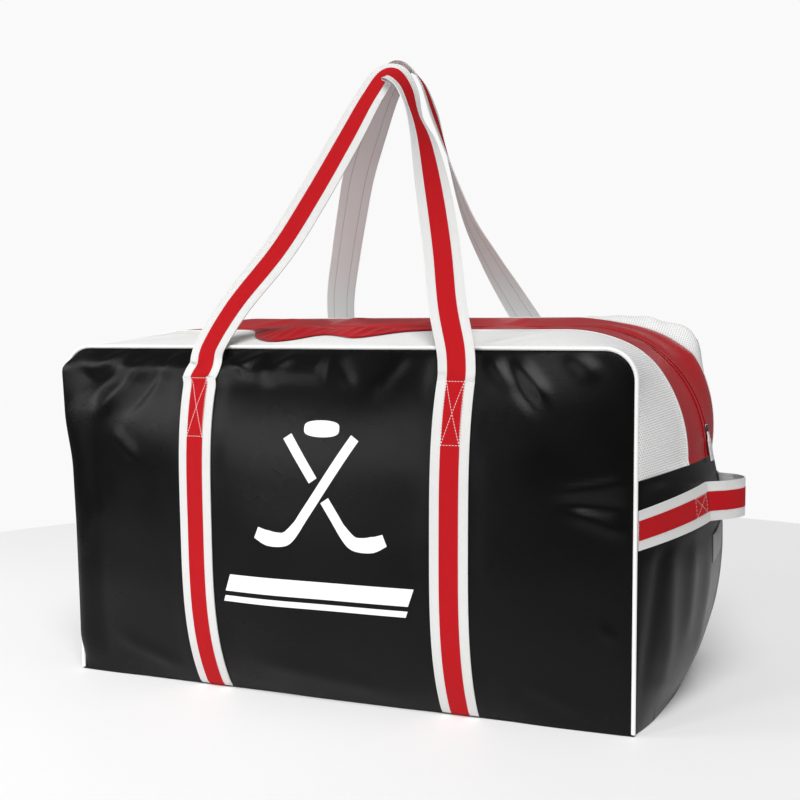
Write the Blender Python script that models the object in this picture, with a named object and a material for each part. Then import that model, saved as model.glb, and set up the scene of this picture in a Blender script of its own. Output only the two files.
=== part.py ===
"""Hockey equipment bag, standing on its base with both carry handles raised. Metres, +Z up."""

import math

import bpy
import numpy as np
from mathutils import Matrix

# Driving dimensions, from the 50 mm webbing and the bag's own proportions.
HALF_LENGTH = 0.410
HALF_WIDTH = 0.230
TOP_EDGE = 0.480
CORNER = 0.040
PANEL_BULGE = 0.055
LEFT_FLARE = 0.050
SEAM_EDGE = 0.317
SEAM_MIDDLE = 0.330
ARCH_X = 0.292
ARCH_Z = 0.338
ARCH_RADIUS = 0.170
FLAP_END = 0.280
BACK_PUFF = 0.020
BAND_V = 0.478
VINYL = 0.003
LIGHT_VINYL = 0.002
EDGE_INSET = 0.004
PIPING_RADIUS = 0.0028
WEBBING = 0.050
STRIPE = 0.025
WEB_THICK = 0.0016
STRIPE_THICK = 0.0007
GAP = 0.0004
CHANNEL = 0.0030
RIM = 0.014
RIM_LIFT = 0.007
HINGE_Z = 0.440
FRONT_STRAPS = (-0.180, 0.185)
BACK_STRAPS = (-0.200, 0.170)
GRAB_Z = 0.266
GRAB_STAND = 0.018
GRAB_RISE = 0.020
GRAB_ROOT = 0.045
ZIP_GAP = 0.0015
ZIP_TAPE = 0.015
SLIDER_ANGLE = math.radians(9.5)

COLOURS = {
    "black_vinyl": (0.012, 0.012, 0.013, 1.0),
    "red_vinyl": (0.42, 0.012, 0.018, 1.0),
    "white_mesh": (0.72, 0.73, 0.74, 1.0),
    "white_webbing": (0.84, 0.84, 0.83, 1.0),
    "red_webbing": (0.55, 0.012, 0.022, 1.0),
    "white_cord": (0.80, 0.80, 0.79, 1.0),
    "zip_tape": (0.015, 0.015, 0.016, 1.0),
    "zip_metal": (0.10, 0.10, 0.105, 1.0),
    "grey_label": (0.20, 0.20, 0.21, 1.0),
    "board": (0.03, 0.03, 0.032, 1.0),
}


def clear_scene():
    for obj in list(bpy.data.objects):
        bpy.data.objects.remove(obj, do_unlink=True)


def material(name):
    found = bpy.data.materials.get(name)
    if found:
        return found
    made = bpy.data.materials.new(name)
    made.use_nodes = True
    shader = made.node_tree.nodes["Principled BSDF"]
    shader.inputs["Base Color"].default_value = COLOURS[name]
    shader.inputs["Roughness"].default_value = 0.3 if name == "zip_metal" else 0.55
    shader.inputs["Metallic"].default_value = 1.0 if name == "zip_metal" else 0.0
    return made


def polyline(points):
    """A curve of the plane, read by its share of length."""
    points = np.array(points)
    steps = np.hypot(*np.diff(points, axis=0).T)
    share = np.concatenate([[0.0], np.cumsum(steps)]) / steps.sum()
    return lambda t: (np.interp(t, share, points[:, 0]), np.interp(t, share, points[:, 1]))


def arc(cx, cz, radius, first, last, count):
    angles = np.radians(np.linspace(first, last, count))
    return [(cx + radius * math.cos(a), cz + radius * math.sin(a)) for a in angles]


EDGE_LOW = polyline([(HALF_LENGTH, 0.010), (HALF_LENGTH, SEAM_EDGE)])
MIDDLE_LOW = polyline(
    [(0.431, 0.010), (0.455, 0.063), (0.467, 0.107), (0.475, 0.164), (0.478, 0.235), (0.474, 0.285)]
    + [(0.464, SEAM_MIDDLE)]
)
EDGE_HIGH = polyline(
    [(HALF_LENGTH, SEAM_EDGE)]
    + arc(HALF_LENGTH - CORNER, TOP_EDGE - CORNER, CORNER, 0, 90, 17)
    + [(FLAP_END, TOP_EDGE)]
)
MIDDLE_HIGH = polyline(
    [(0.464, SEAM_MIDDLE)]
    + arc(ARCH_X, ARCH_Z, ARCH_RADIUS, 0, 90, 65)
    + [(FLAP_END, ARCH_Z + ARCH_RADIUS)]
)


def flared(x, z, y):
    """The front left edge of the stuffed bag stands out a little towards the top."""
    if x < 0 and y < 0:
        return x * (1 + LEFT_FLARE * (z / HINGE_Z) ** 2 * min(1.0, -y / HALF_WIDTH) ** 2)
    return x


def gusset(q, v):
    """The band round the ends and the top. q runs from -3 at the left foot to 3 at the right one, and is
    -2 and 2 at the seams over the end panels, -1 and 1 at the ends of the flaps. v is -1 at the front
    edge and 1 at the back edge."""
    side, t = math.copysign(1.0, q), abs(q)
    weight = 1 - abs(v) ** 2.4
    puff = BACK_PUFF * math.sin(math.pi * v) ** 2 if v > 0 else 0.0
    if t <= 1:
        edge, middle, lift = (t * FLAP_END, TOP_EDGE), (t * FLAP_END, ARCH_Z + ARCH_RADIUS), puff
    elif t <= 2:
        edge, middle = EDGE_HIGH(1 - (t - 1)), MIDDLE_HIGH(1 - (t - 1))
        lift = puff * min(1.0, (2 - t) / 0.5)
    else:
        edge, middle, lift = EDGE_LOW(3 - t), MIDDLE_LOW(3 - t), 0.0
    x = edge[0] + (middle[0] - edge[0]) * weight
    z = edge[1] + (middle[1] - edge[1]) * weight
    lean = max(0.0, min(1.0, (x - FLAP_END) / 0.18)) if t <= 2 else 0.0
    x += lift * lean
    z += lift * math.sqrt(1 - lean * lean)
    y = v * HALF_WIDTH
    return np.array([flared(side * x, z, y), y, z])


def bulge(x, z):
    along = 1 - min(1.0, abs(x) / HALF_LENGTH) ** 3
    up = 1 - abs(2 * z / TOP_EDGE - 1) ** 3.2
    return PANEL_BULGE * along * up


def front(x, z):
    return np.array([flared(x, z, -HALF_WIDTH), -HALF_WIDTH - bulge(x, z), z])


def back(x, z):
    return np.array([x, HALF_WIDTH + bulge(x, z), z])


def strap_line(side, y):
    """Where the webbing under the base runs, at depth y."""
    share = (y + HALF_WIDTH) / (2 * HALF_WIDTH)
    return FRONT_STRAPS[side] + share * (BACK_STRAPS[side] - FRONT_STRAPS[side])


def base(x, y):
    """The underside: flat on the floor, pressed up over the webbing, turned up at the rim."""
    inside = min(base_half(y) - abs(x), HALF_WIDTH + 0.002 - abs(y))
    z = RIM_LIFT * (1 - min(inside, RIM) / RIM) ** 2
    away = min(abs(x - strap_line(0, y)), abs(x - strap_line(1, y)))
    z += CHANNEL * max(0.0, min(1.0, (0.034 - away) / 0.007))
    return np.array([x, y, z])


def base_half(y):
    return 0.412 + 0.014 * (1 - min(1.0, abs(y) / HALF_WIDTH) ** 2.4)


def normal(surface, a, b, step=1e-4):
    across = surface(a + step, b) - surface(a - step, b)
    up = surface(a, b + step) - surface(a, b - step)
    found = np.cross(across, up)
    return found / np.linalg.norm(found)


def slab(name, colour, places, normals, low, high):
    """A closed solid between two offsets of a grid of places, along its normals."""
    places, normals = np.array(places), np.array(normals)
    rows, columns = places.shape[:2]
    layers = [(places + normals * offset).reshape(-1, 3) for offset in (low, high)]
    count = rows * columns
    faces = []
    for i in range(rows - 1):
        for j in range(columns - 1):
            a, b = i * columns + j, i * columns + j + 1
            c, d = b + columns, a + columns
            faces += [(count + a, count + b, count + c), (count + a, count + c, count + d)]
            faces += [(c, b, a), (d, c, a)]
    rim = [i * columns for i in range(rows)]
    rim += [(rows - 1) * columns + j for j in range(1, columns)]
    rim += [i * columns + columns - 1 for i in range(rows - 2, -1, -1)]
    rim += [j for j in range(columns - 2, 0, -1)]
    for a, b in zip(rim, rim[1:] + rim[:1]):
        faces.append((b, a, count + a, count + b))
    return finish(name, colour, np.concatenate(layers), faces)


def finish(name, colour, points, faces):
    mesh = bpy.data.meshes.new(name)
    mesh.from_pydata([tuple(p) for p in points], [], faces)
    mesh.validate()
    mesh.shade_smooth()
    mesh.materials.append(material(colour))
    obj = bpy.data.objects.new(name, mesh)
    BAG.objects.link(obj)
    mesh.calc_loop_triangles()
    corners = np.array([mesh.vertices[i].co[:] for t in mesh.loop_triangles for i in t.vertices])
    if np.linalg.det(corners.reshape(-1, 3, 3)).sum() < 0:
        mesh.flip_normals()
    return obj


def skin(name, colour, surface, across, up, low, high, flip=False, lift=None):
    """A slab over a surface, with places at across x up and outward normals."""
    places = [[surface(a, b) for b in up] for a in across]
    normals = [[normal(surface, a, b) * (-1 if flip else 1) for b in up] for a in across]
    places, normals = np.array(places), np.array(normals)
    if lift:
        places = places + normals * np.array([lift(a) for a in across])[:, None, None]
    return slab(name, colour, places, normals, low, high)


def steps(first, last, count):
    return list(np.linspace(first, last, count))


def half_at(z):
    """Half the panel's length at height z, inside the piping."""
    if z <= TOP_EDGE - CORNER:
        return HALF_LENGTH - EDGE_INSET
    radius = CORNER - EDGE_INSET
    return HALF_LENGTH - CORNER + math.sqrt(radius**2 - (z - TOP_EDGE + CORNER) ** 2)


def panel(name, surface, flip):
    def shaped(u, z):
        return surface(u * half_at(z), z)

    heights = [0.010, 0.024, 0.050, 0.095, 0.160, 0.240, 0.320, 0.385, 0.425, 0.445, 0.460, 0.470, 0.4755]
    across = [-1, -0.97, -0.88, -0.7, -0.45, -0.15, 0.15, 0.45, 0.7, 0.88, 0.97, 1]
    places = [[shaped(u, z) for z in heights] for u in across]
    normals = [[normal(surface, u * half_at(z), z) * (-1 if flip else 1) for z in heights] for u in across]
    return slab(name, "black_vinyl", places, normals, -VINYL, 0.0)


def spline(keys, count):
    """A smooth run through keys of (place, normal), sampled evenly by key."""
    keys = [np.array(k, float) for k in keys]
    ends = [2 * keys[0] - keys[1]] + keys + [2 * keys[-1] - keys[-2]]
    found = []
    for s in np.linspace(0, len(keys) - 1, count):
        i = min(int(s), len(keys) - 2)
        t = s - i
        p0, p1, p2, p3 = ends[i : i + 4]
        bend = (2 * p0 - 5 * p1 + 4 * p2 - p3) * t * t + (3 * p1 - p0 - 3 * p2 + p3) * t**3
        found.append(0.5 * (2 * p1 + (p2 - p0) * t + bend))
    return np.array(found)


def ribbon(name, colour, keys, shares, low, high, count=49):
    """Webbing along keys of (x, y, z, nx, ny, nz), flat across its width."""
    run = spline(keys, count)
    centre, facing = run[:, :3], run[:, 3:]
    along = np.gradient(centre, axis=0)
    along /= np.linalg.norm(along, axis=1)[:, None]
    facing = facing - (facing * along).sum(axis=1)[:, None] * along
    facing /= np.linalg.norm(facing, axis=1)[:, None]
    side = np.cross(along, facing)
    places = np.stack([centre + side * WEBBING / 2 * k for k in shares], axis=1)
    return slab(name, colour, places, np.stack([facing] * len(shares), axis=1), low, high)


def tube(name, colour, points, radius):
    curve = bpy.data.curves.new(name, "CURVE")
    curve.dimensions = "3D"
    spline_of = curve.splines.new("POLY")
    spline_of.points.add(len(points) - 1)
    for point, place in zip(spline_of.points, points):
        point.co = (*place, 1.0)
    curve.bevel_depth = radius
    curve.bevel_resolution = 1
    curve.use_fill_caps = True
    curve.materials.append(material(colour))
    obj = bpy.data.objects.new(name, curve)
    BAG.objects.link(obj)
    return obj


def prism(name, colour, outline, depth, matrix):
    """An outline in its own XY plane, given depth both ways along Z and placed by matrix."""
    count = len(outline)
    points = [matrix @ np.array([x, y, z, 1.0]) for z in (-depth, depth) for x, y in outline]
    faces = [tuple(range(count - 1, -1, -1)), tuple(range(count, 2 * count))]
    faces += [(i, (i + 1) % count, count + (i + 1) % count, count + i) for i in range(count)]
    obj = finish(name, colour, [p[:3] for p in points], faces)
    for polygon in obj.data.polygons:
        polygon.use_smooth = False
    return obj


clear_scene()
BAG = bpy.data.collections.new("hockey_equipment_bag")
bpy.context.scene.collection.children.link(BAG)

# Shell: front, back, base and the two ends.
panel("front_panel", front, flip=False)
panel("back_panel", back, flip=True)
base_rows = [0.0, 0.002, 0.006, 0.014]
base_y = [-HALF_WIDTH - 0.002 + r for r in base_rows] + steps(-0.17, 0.17, 5)
base_y += [HALF_WIDTH + 0.002 - r for r in reversed(base_rows)]
base_places, base_normals = [], []
marks = [-1, -0.993, -0.984, -0.966, -0.78]
for y in base_y:
    half = base_half(y)
    row = [u * half for u in marks]
    for side in (0, 1):
        middle = strap_line(side, y)
        row += [middle - 0.034, middle - 0.027, middle + 0.027, middle + 0.034]
        row += [0.0] if side == 0 else []
    row += [-u * half for u in reversed(marks)]
    base_places.append([base(x, y) for x in row])
    base_normals.append([-normal(base, x, y, 2e-4) for x in row])
slab("base_panel", "black_vinyl", base_places, base_normals, -VINYL, 0.0)
for side, name in ((-1, "end_panel_left"), (1, "end_panel_right")):
    heights = [side * q for q in steps(3, 2.003, 11)]
    skin(name, "black_vinyl", gusset, heights, steps(-0.983, 0.983, 15), -VINYL, 0.0)
bpy.ops.mesh.primitive_cube_add(size=1, location=(0, 0, 0.0100))
board = bpy.context.active_object
board.name = "base_board"
board.scale = (0.76, 0.40, 0.003)
bpy.ops.object.transform_apply(location=False, rotation=False, scale=True)
board.data.materials.append(material("board"))
for owner in list(board.users_collection):
    owner.objects.unlink(board)
BAG.objects.link(board)

# Mesh gusset: one long strip in front of the zip band and one behind it.
run = [-1.998] + steps(-1.9, -1.0, 9) + [0.0] + steps(1.0, 1.9, 9) + [1.998]
skin("mesh_front", "white_mesh", gusset, run, steps(-0.983, -BAND_V - 0.001, 5), -LIGHT_VINYL, 0.0)
skin("mesh_back", "white_mesh", gusset, run, steps(BAND_V + 0.001, 0.983, 5), -LIGHT_VINYL, 0.0)

# Zip band: the two halves over the top fold open, and their ends run down over the bag's ends.
red_edge = 0.0056 / HALF_WIDTH
tape_v = (ZIP_GAP / HALF_WIDTH, ZIP_TAPE / HALF_WIDTH)
for side, name in ((-1, "front"), (1, "back")):
    outer = side * (BAND_V - 0.002)
    middle = sorted((outer, side * 0.0025 / HALF_WIDTH))
    ends = sorted((outer, side * red_edge))
    tape = sorted((side * tape_v[0], side * tape_v[1]))
    skin(f"red_{name}_flap", "red_vinyl", gusset, steps(-0.998, 0.998, 5), steps(*middle, 6), -LIGHT_VINYL, 0)
    skin(f"zip_{name}_flap", "zip_tape", gusset, steps(-0.998, 0.998, 5), steps(*tape, 2), -0.0040, -0.0024)
    for hand, end in ((-1, "left"), (1, "right")):
        q = sorted((hand * 1.002, hand * 1.998))
        skin(f"red_{name}_{end}", "red_vinyl", gusset, steps(*q, 17), steps(*ends, 5), -LIGHT_VINYL, 0)
        skin(f"zip_{name}_{end}", "zip_tape", gusset, steps(*q, 17), steps(*tape, 2), -0.0040, -0.0024)

# Piping over the front and the back edge, from the floor up, over the top and down.
for side, name in ((-1, "front_piping"), (1, "back_piping")):
    turn = arc(HALF_LENGTH - CORNER, TOP_EDGE - CORNER, CORNER, 0, 90, 9)
    path = [(HALF_LENGTH, 0.0125), (HALF_LENGTH, 0.12), (HALF_LENGTH, 0.24), (HALF_LENGTH, 0.34)] + turn
    path = path + [(-x, z) for x, z in reversed(path)]
    points = [(flared(x, z, side * HALF_WIDTH), side * HALF_WIDTH, z) for x, z in path]
    tube(name, "white_cord", points, PIPING_RADIUS)

# Webbing: sewn up both faces, under the base, and the stripe down its middle.
strap_heights = [0.009, 0.024, 0.050, 0.095, 0.160, 0.240, 0.320, 0.385, 0.425, HINGE_Z - 0.0010]
for surface, places, face, flip in ((front, FRONT_STRAPS, "front", False), (back, BACK_STRAPS, "back", True)):
    for middle, hand in zip(places, ("left", "right")):
        wide = steps(middle - WEBBING / 2, middle + WEBBING / 2, 3)
        low = GAP
        skin(f"strap_{face}_{hand}", "white_webbing", surface, wide, strap_heights, low, low + WEB_THICK, flip)
        narrow = steps(middle - STRIPE / 2, middle + STRIPE / 2, 2)
        low = 2 * GAP + WEB_THICK
        skin(f"stripe_{face}_{hand}", "red_webbing", surface, narrow, strap_heights, low, low + STRIPE_THICK, flip)
for side, hand in ((0, "left"), (1, "right")):
    for name, colour, width, low, high in (
        ("strap_base_", "white_webbing", WEBBING, GAP, GAP + WEB_THICK),
        ("stripe_base_", "red_webbing", STRIPE, CHANNEL - STRIPE_THICK, CHANNEL),
    ):
        places, normals = [], []
        for y in base_y:
            across = [strap_line(side, y) + width * k for k in (-0.5, 0.5)]
            places.append([base(x, y) for x in across])
            normals.append([-normal(base, strap_line(side, y), y, 2e-4)] * 2)
        slab(name + hand, colour, places, normals, low, high)

# Carry handles: free loops of the same webbing above the crossed stitching.
FRONT_KEYS = [
    (-0.189, -0.2560, 0.4420, 0.0, -0.93, 0.37),
    (-0.189, -0.2515, 0.454, 0.0, -0.93, 0.37),
    (-0.186, -0.2405, 0.482, 0.0, -0.90, 0.42),
    (-0.160, -0.208, 0.540, 0.1, -0.88, 0.45),
    (-0.113, -0.166, 0.618, 0.15, -0.9, 0.4),
    (-0.079, -0.124, 0.698, 0.15, -0.9, 0.4),
    (-0.049, -0.080, 0.781, 0.1, -0.88, 0.45),
    (-0.026, -0.044, 0.848, 0.0, -0.8, 0.6),
    (-0.002, -0.029, 0.884, 0.2, -0.65, 0.75),
    (0.028, -0.040, 0.862, 0.75, -0.35, 0.55),
    (0.050, -0.060, 0.820, 0.93, -0.15, 0.3),
    (0.076, -0.085, 0.773, 0.85, -0.45, 0.3),
    (0.108, -0.128, 0.689, 0.55, -0.8, 0.35),
    (0.135, -0.170, 0.611, 0.3, -0.85, 0.4),
    (0.158, -0.212, 0.536, 0.1, -0.88, 0.45),
    (0.179, -0.2405, 0.482, 0.0, -0.90, 0.42),
    (0.185, -0.2515, 0.454, 0.0, -0.93, 0.37),
    (0.185, -0.2560, 0.4420, 0.0, -0.93, 0.37),
]
BACK_KEYS = [
    (-0.200, 0.2560, 0.4420, 0.0, 0.93, 0.37),
    (-0.200, 0.2515, 0.454, 0.0, 0.93, 0.37),
    (-0.201, 0.2405, 0.482, 0.0, 0.90, 0.42),
    (-0.188, 0.202, 0.556, 0.0, 0.9, 0.4),
    (-0.160, 0.163, 0.630, 0.0, 0.9, 0.4),
    (-0.134, 0.131, 0.694, -0.1, 0.9, 0.4),
    (-0.107, 0.100, 0.755, -0.3, 0.85, 0.4),
    (-0.073, 0.071, 0.814, -0.5, 0.7, 0.5),
    (-0.037, 0.046, 0.872, -0.4, 0.4, 0.8),
    (-0.004, 0.036, 0.906, 0.2, 0.2, 0.95),
    (0.022, 0.042, 0.884, 0.8, 0.1, 0.6),
    (0.036, 0.060, 0.838, 0.95, 0.05, 0.3),
    (0.047, 0.084, 0.785, 0.95, 0.25, 0.3),
    (0.066, 0.134, 0.687, 0.75, 0.6, 0.35),
    (0.092, 0.168, 0.620, 0.5, 0.8, 0.4),
    (0.122, 0.203, 0.556, 0.2, 0.88, 0.45),
    (0.160, 0.2405, 0.482, 0.0, 0.90, 0.42),
    (0.170, 0.2515, 0.454, 0.0, 0.93, 0.37),
    (0.170, 0.2560, 0.4420, 0.0, 0.93, 0.37),
]
for name, keys in (("front_handle", FRONT_KEYS), ("back_handle", BACK_KEYS)):
    ribbon(name, "white_webbing", keys, (-1, -0.5, 0, 0.5, 1), -WEB_THICK, 0.0)
    ribbon(name + "_stripe", "red_webbing", keys, (-0.5, 0, 0.5), GAP, GAP + STRIPE_THICK)


def grab_surface(side):
    """The end panel as a surface of (y, height above the strap's middle)."""

    def surface(y, h):
        v = y / HALF_WIDTH
        rise = 0.010 * (1 - abs(v) ** 2)
        target = GRAB_Z + rise + h
        q = 2 + (SEAM_EDGE + 0.011 - target) / (SEAM_EDGE - 0.004)
        return gusset(side * q, v)

    return surface


# Grab handles on the ends: sewn tails that rise to the loop, and the loop itself.
def stand(y):
    """How far the webbing stands off the end panel."""
    if abs(y) < GRAB_ROOT:
        return GRAB_STAND + GRAB_RISE * (1 - (y / GRAB_ROOT) ** 2)
    share = max(0.0, min(1.0, (0.062 - abs(y)) / (0.062 - GRAB_ROOT)))
    return GRAB_STAND * (0.6 * share + 0.4 * share * share)


tail = [0.224, 0.204, 0.180, 0.155, 0.130, 0.105, 0.080, 0.062, 0.056, 0.050, GRAB_ROOT + 0.0003]
loop = steps(-GRAB_ROOT + 0.0003, GRAB_ROOT - 0.0003, 13)
grab_low = 2 * GAP + WEB_THICK + GAP
for side, hand in ((-1, "left"), (1, "right")):
    on_end = grab_surface(side)
    root_x = on_end(GRAB_ROOT, 0.0)[0]
    for where, ys in (("front", [-y for y in tail]), ("back", tail[::-1]), ("loop", loop)):
        for name, colour, shares, low, thick in (
            ("grab", "white_webbing", (-0.5, -0.25, 0, 0.25, 0.5), 2 * GAP, WEB_THICK),
            ("grab_stripe", "red_webbing", (-0.25, 0, 0.25), grab_low, STRIPE_THICK),
        ):
            places = np.array([[on_end(y, k * WEBBING) for k in shares] for y in ys])
            if where == "loop":
                places[:, :, 0] = root_x
            places[:, :, 0] += side * np.array([stand(y) for y in ys])[:, None]
            out = np.zeros_like(places)
            out[:, :, 0] = side
            slab(f"{name}_{hand}_{where}", colour, places, out, low, low + thick)

# Sliders at the ends of the zip, each with its webbing pull.
for side, hand in ((-1, "left"), (1, "right")):
    radial = np.array([side * math.cos(SLIDER_ANGLE), 0.0, math.sin(SLIDER_ANGLE)])
    across = np.array([0.0, 1.0, 0.0])
    tangent = np.cross(radial, across)
    centre = np.array([side * ARCH_X, 0.0, ARCH_Z]) + radial * ARCH_RADIUS
    frame = np.eye(4)
    frame[:3, 0], frame[:3, 1], frame[:3, 2], frame[:3, 3] = across, radial, tangent, centre
    outline = [(-0.005, -0.0019), (-0.001, -0.0019), (-0.001, -0.0047), (-0.005, -0.0047), (-0.005, -0.0066)]
    outline = outline + [(-x, y) for x, y in reversed(outline)]
    outline += [(0.005, 0.0010), (0.0014, 0.0012), (0.0014, 0.0050), (-0.0014, 0.0050), (-0.0014, 0.0012)]
    outline += [(-0.005, 0.0010)]
    prism(f"zip_slider_{hand}", "zip_metal", outline, 0.0075, frame)
    down = -1 if (tangent[2] > 0) else 1
    hang = tangent * down
    frame = np.eye(4)
    frame[:3, 0], frame[:3, 1], frame[:3, 2] = across, hang, radial
    frame[:3, 3] = centre + radial * 0.0036 + hang * 0.0050
    tab = [(0.0018, -0.002), (0.0045, -0.002), (0.0055, 0.006), (0.0105, 0.009), (0.0105, 0.039)]
    tab = tab + [(-x, y) for x, y in reversed(tab)]
    tab += [(-0.0018, 0.0045), (0.0018, 0.0045)]
    prism(f"zip_pull_{hand}", "white_webbing", tab, 0.0010, frame)

# Plain label below the right grab handle.
right_end = grab_surface(1)
label = [[right_end(y, h + 0.12 * y) for h in (-0.078, -0.060, -0.042)] for y in steps(-0.040, 0.034, 7)]
out = np.zeros_like(label)
out[:, :, 0] = 1.0
slab("end_label", "grey_label", label, out, 2 * GAP, 2 * GAP + 0.0012)


def pivot(name, place, *moving):
    """An empty on a joint's axis, which the pieces that turn about it hang from."""
    empty = bpy.data.objects.new(name, None)
    empty.empty_display_size = 0.03
    empty.location = place
    BAG.objects.link(empty)
    for piece in moving:
        obj = bpy.data.objects[piece]
        obj.parent = empty
        obj.matrix_parent_inverse = Matrix.Translation(place).inverted()


flap_front_z = gusset(0, -BAND_V)[2]
flap_back_z = gusset(0, BAND_V)[2]
pivot("front_handle_axis", (0, -0.2578, HINGE_Z), "front_handle", "front_handle_stripe")
pivot("back_handle_axis", (0, 0.2578, HINGE_Z), "back_handle", "back_handle_stripe")
pivot("front_flap_axis", (0, -BAND_V * HALF_WIDTH, flap_front_z), "red_front_flap", "zip_front_flap")
pivot("back_flap_axis", (0, BAND_V * HALF_WIDTH, flap_back_z), "red_back_flap", "zip_back_flap")
for side, hand in ((-1, "left"), (1, "right")):
    turn, drop = math.cos(SLIDER_ANGLE), math.sin(SLIDER_ANGLE)
    pull_x = ARCH_X + (ARCH_RADIUS + 0.0036) * turn + 0.005 * drop
    pull_z = ARCH_Z + (ARCH_RADIUS + 0.0036) * drop - 0.005 * turn
    pivot(f"slider_axis_{hand}", (side * ARCH_X, 0, ARCH_Z), f"zip_slider_{hand}")
    pivot(f"pull_axis_{hand}", (side * pull_x, 0, pull_z), f"zip_pull_{hand}")
    loop_x = abs(grab_surface(side)(GRAB_ROOT, 0.0)[0]) + GRAB_STAND
    pivot(f"grab_axis_{hand}", (side * loop_x, 0, GRAB_Z + 0.010), f"grab_{hand}_loop", f"grab_stripe_{hand}_loop")
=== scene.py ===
"""Hockey equipment bag: its fabrics, webbing, zip and sewing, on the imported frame. Metres, +Z up."""

import math

import bpy
import numpy as np
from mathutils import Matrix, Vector


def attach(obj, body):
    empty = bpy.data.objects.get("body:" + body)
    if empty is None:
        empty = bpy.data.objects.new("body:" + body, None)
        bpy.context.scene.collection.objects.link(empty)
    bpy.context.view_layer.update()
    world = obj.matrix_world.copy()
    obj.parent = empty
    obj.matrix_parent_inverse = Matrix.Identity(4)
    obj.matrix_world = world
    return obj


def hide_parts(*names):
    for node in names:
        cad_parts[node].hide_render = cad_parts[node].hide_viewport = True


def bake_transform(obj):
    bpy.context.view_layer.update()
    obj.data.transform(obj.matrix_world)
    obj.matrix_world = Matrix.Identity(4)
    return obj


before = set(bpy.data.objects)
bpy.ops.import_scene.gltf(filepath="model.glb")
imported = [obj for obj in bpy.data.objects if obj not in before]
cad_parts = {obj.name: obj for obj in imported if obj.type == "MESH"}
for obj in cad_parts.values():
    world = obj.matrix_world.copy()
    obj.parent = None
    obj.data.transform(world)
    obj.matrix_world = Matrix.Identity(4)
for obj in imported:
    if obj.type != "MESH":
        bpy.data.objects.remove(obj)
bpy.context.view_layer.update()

# The bag's own dimensions, as its frame has them.
HALF_LENGTH = 0.410
HALF_WIDTH = 0.230
TOP_EDGE = 0.480
CORNER = 0.040
CORNER_X = 0.370
CORNER_Z = 0.440
SEAM_EDGE = 0.317
SEAM_MIDDLE = 0.330
ARCH_X = 0.292
ARCH_Z = 0.338
ARCH_RADIUS = 0.170
FLAP_END = 0.280
BACK_PUFF = 0.020
BAND_V = 0.478
HINGE_Z = 0.440
WEBBING = 0.050
GRAB_Z = 0.266
GRAB_RISE = 0.010
GRAB_ROOT = 0.045
FRONT_STRAPS = (-0.180, 0.185)
BACK_STRAPS = (-0.200, 0.170)
FLOOR_GAP = 0.0010
SEAM_INSET = 0.0022
STRAP_MID = 0.0012
STRAP_TOP = 0.0008
STRIPE_TOP = 0.0012
THREAD_LIFT = 0.0001
THREAD = (0.0031, 0.0008, 0.0006)  # one stitch's length, width and height
STITCH_ROWS = (0.055, 0.225, 0.775, 0.945)
SEW_TOP = 0.4385
CAMERA_PLACE = (0.6963, -1.6974, 0.498)
CAMERA_TURN = 22.16
CAMERA_DIP = -3.13
CAMERA_LENS = 54.3
ROOM_LIGHT = 0.20
BACKDROP = 0.95
FLOOR_RADIUS = 1.45
FLOOR_MIDDLE = 0.25


# --- Camera, light and floor ---


def linked(name, data):
    """A new object of this name in the scene."""
    obj = bpy.data.objects.new(name, data)
    bpy.context.scene.collection.objects.link(obj)
    return obj


def aim(obj, place, direction):
    obj.location = place
    obj.rotation_euler = Vector(direction).to_track_quat("-Z", "Y").to_euler()


def set_up_camera():
    turn, dip = math.radians(CAMERA_TURN), math.radians(CAMERA_DIP)
    data = bpy.data.cameras.new("studio_camera")
    data.lens = CAMERA_LENS
    data.sensor_width = 36.0
    camera = linked("studio_camera", data)
    forward = (-math.sin(turn) * math.cos(dip), math.cos(turn) * math.cos(dip), math.sin(dip))
    aim(camera, CAMERA_PLACE, forward)
    bpy.context.scene.camera = camera


def softbox(name, place, target, size, power):
    data = bpy.data.lights.new(name, "AREA")
    data.shape = "RECTANGLE"
    data.size, data.size_y = size
    data.energy = power
    aim(linked(name, data), place, Vector(target) - Vector(place))


def set_up_studio():
    """A wide soft sky light, two softboxes, and a room darker than the backdrop behind the bag."""
    world = bpy.data.worlds.new("studio")
    world.use_nodes = True
    tree = world.node_tree
    seen = wire(tree, "ShaderNodeLightPath").outputs["Is Camera Ray"]
    level = maths(tree, "MULTIPLY_ADD", seen, BACKDROP - ROOM_LIGHT, ROOM_LIGHT)
    tree.links.new(level, tree.nodes["Background"].inputs["Strength"])
    tree.nodes["Background"].inputs["Color"].default_value = (1.0, 1.0, 1.0, 1.0)
    bpy.context.scene.world = world
    bpy.context.scene.view_settings.view_transform = "Standard"
    sky = bpy.data.lights.new("studio_sky", "SUN")
    sky.energy = 2.95
    sky.angle = math.radians(35)
    aim(linked("studio_sky", sky), (0.0, 0.0, 3.0), (-0.22, 0.60, -0.77))
    softbox("front_softbox", (-1.25, -2.9, 0.85), (0.0, -0.28, 0.30), (0.60, 0.60), 24)
    softbox("left_softbox", (-1.95, -1.40, 1.05), (-0.2, -0.27, 0.42), (0.9, 0.5), 13)


# --- Materials ---


def feed(tree, node, feeds):
    """Each input fed by another node's output or set to a value."""
    for place, source in feeds.items():
        if isinstance(source, bpy.types.NodeSocket):
            tree.links.new(source, node.inputs[place])
        else:
            node.inputs[place].default_value = source


def wire(tree, kind, feeds=None, **settings):
    """A new node with its settings and feeds."""
    node = tree.nodes.new(kind)
    for key, value in settings.items():
        setattr(node, key, value)
    feed(tree, node, feeds or {})
    return node


def maths(tree, operation, *terms):
    return wire(tree, "ShaderNodeMath", dict(enumerate(terms)), operation=operation).outputs[0]


def noise(tree, where, scale, detail):
    feeds = {"Vector": where, "Scale": scale, "Detail": detail}
    return wire(tree, "ShaderNodeTexNoise", feeds).outputs["Fac"]


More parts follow.
